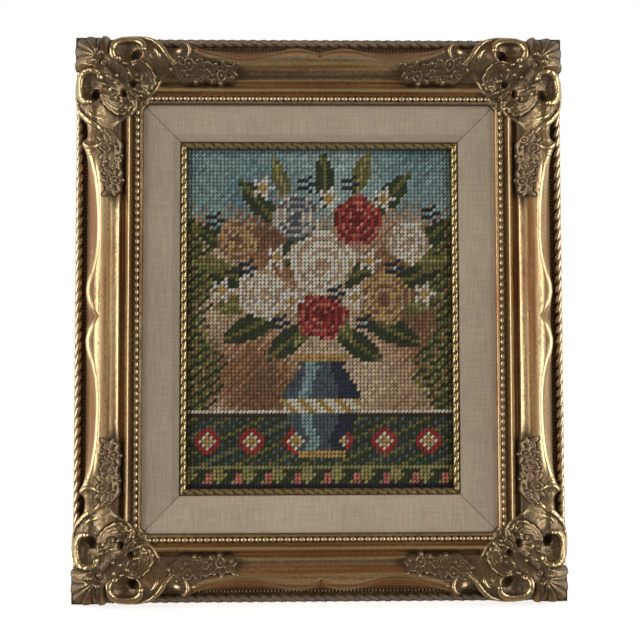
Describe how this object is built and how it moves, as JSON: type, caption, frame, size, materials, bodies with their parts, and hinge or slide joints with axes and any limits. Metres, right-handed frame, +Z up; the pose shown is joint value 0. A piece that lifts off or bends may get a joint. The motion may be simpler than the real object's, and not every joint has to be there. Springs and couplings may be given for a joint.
{
  "type": "framed needlepoint picture",
  "caption": "Upright needlepoint picture of flowers in wool, with a linen liner and a gold rope fillet, in a swept antique-gold frame with cast corner ornaments.",
  "frame": {"origin": "middle of the flat back of the top rail, on the wall plane, where the picture hangs", "axes": "+Y into the wall, out of the back; +Z up, along the picture's height; +X to the right as it is looked at; the front faces -Y"},
  "size_m": [0.3366, 0.0366, 0.3874],
  "materials": {
    "gilt_rail": "antique gold leaf with a bronze tone and dark rubbed recesses",
    "gilt_corner": "cast ornament in antique gold leaf with dark rubbed recesses",
    "gilt_spray": "cast flowers in antique gold leaf with dark rubbed recesses",
    "linen": "plain greige linen wrapped over wood",
    "fillet_gold": "satin gold with dark lines between the rope's turns",
    "wool": "half cross stitch in coloured wool, matt"
  },
  "bodies": {
    "root": {"rail_top": "gilt_rail", "rail_bottom": "gilt_rail", "rail_left": "gilt_rail", "rail_right": "gilt_rail", "corner_top_left": "gilt_corner", "corner_top_right": "gilt_corner", "corner_bottom_left": "gilt_corner", "corner_bottom_right": "gilt_corner", "spray_top_left": "gilt_spray", "spray_top_right": "gilt_spray", "spray_bottom_left": "gilt_spray", "spray_bottom_right": "gilt_spray", "spray_left_upper": "gilt_spray", "spray_left_lower": "gilt_spray", "spray_right_upper": "gilt_spray", "spray_right_lower": "gilt_spray", "liner_top": "linen", "liner_bottom": "linen", "liner_left": "linen", "liner_right": "linen", "fillet_top": "fillet_gold", "fillet_bottom": "fillet_gold", "fillet_left": "fillet_gold", "fillet_right": "fillet_gold", "needlepoint": "wool"}
  },
  "joints": []
}
